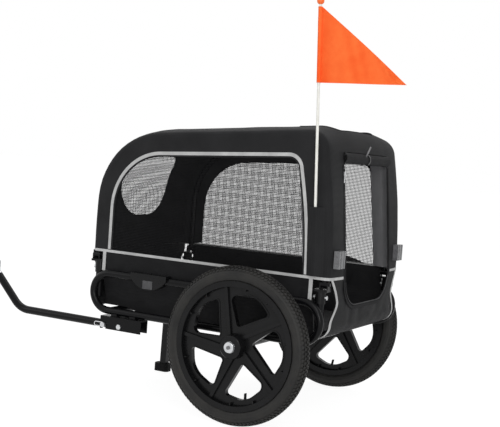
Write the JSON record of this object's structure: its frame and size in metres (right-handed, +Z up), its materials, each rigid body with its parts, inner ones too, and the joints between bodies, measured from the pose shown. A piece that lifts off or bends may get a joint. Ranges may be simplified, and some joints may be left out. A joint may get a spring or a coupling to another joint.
{
  "type": "dog bike trailer",
  "caption": "Folding dog trailer for a bicycle: tube frame, cloth cabin with net windows and a rear door, spoked wheels, side drawbar, parking stand and safety flag.",
  "frame": {"origin": "on the ground under the middle of the object's overall box", "axes": "+X forward along the drawbar, +Y left, +Z up"},
  "size_m": [1.3028, 0.6914, 1.067],
  "materials": {
    "cabin_cloth": "woven coated polyester",
    "window_net": "open net",
    "grey_tape": "reflective woven tape",
    "black_paint": "satin powder coat",
    "black_plastic": "moulded, fine grain",
    "bright_steel": "zinc plated",
    "tyre": "black tread rubber",
    "tube_rubber": "smooth",
    "foot_rubber": "smooth",
    "button": "moulded",
    "reflector": "prismatic lens",
    "floor_board": "board",
    "flag_pole": "glass-fibre rod",
    "flag_cloth": "coated flag cloth",
    "flag_ball": "moulded"
  },
  "bodies": {
    "frame": {"left_side_loop": "black_paint", "right_side_loop": "black_paint", "front_cross_tube": "black_paint", "rear_cross_tube": "black_paint", "axle_beam": "black_paint", "axle_brackets": "black_plastic", "corner_posts": "black_paint", "hinge_brackets": "black_plastic", "hinge_pins": "bright_steel", "frame_bolts": "bright_steel", "floor_panel": "floor_board", "floor_cloth": "cabin_cloth", "left_skirt": "cabin_cloth", "right_skirt": "cabin_cloth", "front_apron": "cabin_cloth", "rear_apron": "cabin_cloth", "belt_tape": "grey_tape", "left_reflector_holder": "black_plastic", "right_reflector_holder": "black_plastic", "side_reflectors": "reflector", "hitch_bracket": "black_paint", "drawbar_bolt": "bright_steel", "stand_bracket": "black_plastic", "stand_pin": "bright_steel", "left_axle": "bright_steel", "right_axle": "bright_steel", "left_cover": "cabin_cloth", "right_cover": "cabin_cloth", "roof_cover": "cabin_cloth", "rear_cover": "cabin_cloth", "left_window_mesh": "window_net", "right_window_mesh": "window_net", "front_window_mesh": "window_net", "window_tapes": "grey_tape", "door_roll": "cabin_cloth", "zip_slider": "black_plastic", "flag_sleeve": "cabin_cloth", "rear_reflectors": "reflector"},
    "left_wheel": {"left_tyre": "tyre", "left_rim": "black_plastic", "left_inner_tube": "tube_rubber", "left_bearings": "bright_steel"},
    "right_wheel": {"right_tyre": "tyre", "right_rim": "black_plastic", "right_inner_tube": "tube_rubber", "right_bearings": "bright_steel"},
    "left_button": {"left_release_button": "button"},
    "right_button": {"right_release_button": "button"},
    "left_hoop": {"left_hoop": "black_paint"},
    "right_hoop": {"right_hoop": "black_paint"},
    "drawbar": {"drawbar": "black_paint", "coupler": "bright_steel", "lock_pin": "bright_steel"},
    "hitch_pin": {"hitch_pin": "bright_steel"},
    "hitch": {"hitch_adapter": "bright_steel"},
    "stand": {"stand_leg": "black_plastic", "stand_foot": "foot_rubber"},
    "flag": {"flag_pole": "flag_pole", "flag_tip": "flag_ball"},
    "pennant": {"flag_pennant": "flag_cloth"}
  },
  "joints": [
    {"name": "left_wheel_spin", "type": "hinge", "parent": "frame", "child": "left_wheel", "pos_m": [-0.28248, 0.3025, 0.2], "axis": [0, 1, 0], "continuous": true},
    {"name": "right_wheel_spin", "type": "hinge", "parent": "frame", "child": "right_wheel", "pos_m": [-0.28248, -0.3025, 0.2], "axis": [0, 1, 0], "continuous": true},
    {"name": "left_button_press", "type": "slide", "parent": "frame", "child": "left_button", "axis": [0, -1, 0], "range_m": [0, 0.003], "stiffness_N_per_m": 600},
    {"name": "right_button_press", "type": "slide", "parent": "frame", "child": "right_button", "axis": [0, 1, 0], "range_m": [0, 0.003], "stiffness_N_per_m": 600},
    {"name": "right_hoop_fold", "type": "hinge", "parent": "frame", "child": "right_hoop", "pos_m": [-0.28248, -0.2287, 0.372], "axis": [-1, 0, 0], "range_deg": [0, 90], "deforming": ["left_cover", "right_cover", "roof_cover", "rear_cover", "left_window_mesh", "right_window_mesh", "front_window_mesh", "window_tapes", "door_roll", "zip_slider", "flag_sleeve", "rear_reflectors"]},
    {"name": "left_hoop_fold", "type": "hinge", "parent": "frame", "child": "left_hoop", "pos_m": [-0.28248, 0.2287, 0.372], "axis": [1, 0, 0], "range_deg": [0, 78]},
    {"name": "drawbar_fold", "type": "hinge", "parent": "frame", "child": "drawbar", "pos_m": [0.09852, 0.25, 0.188], "axis": [0, 1, 0], "range_deg": [0, 155]},
    {"name": "hitch_yaw", "type": "hinge", "parent": "drawbar", "child": "hitch", "pos_m": [0.57942, 0.25, 0.2941], "axis": [0, 0, 1], "range_deg": [-50, 50]},
    {"name": "hitch_pin_lift", "type": "slide", "parent": "drawbar", "child": "hitch_pin", "axis": [0, 0, 1], "range_m": [0, 0.045]},
    {"name": "stand_fold", "type": "hinge", "parent": "frame", "child": "stand", "pos_m": [0.17652, -0.1, 0.205], "axis": [0, 1, 0], "range_deg": [0, 70]},
    {"name": "flag_lift", "type": "slide", "parent": "frame", "child": "flag", "axis": [0.0559, 0, 0.9984], "range_m": [0, 0.165]},
    {"name": "pennant_swivel", "type": "hinge", "parent": "flag", "child": "pennant", "pos_m": [-0.42642, 0.2463, 0.861], "axis": [0.0559, 0, 0.9984], "continuous": true}
  ],
  "couplings": [
    {"joint": "left_hoop_fold", "follows": "right_hoop_fold", "ratio": 0.866}
  ]
}
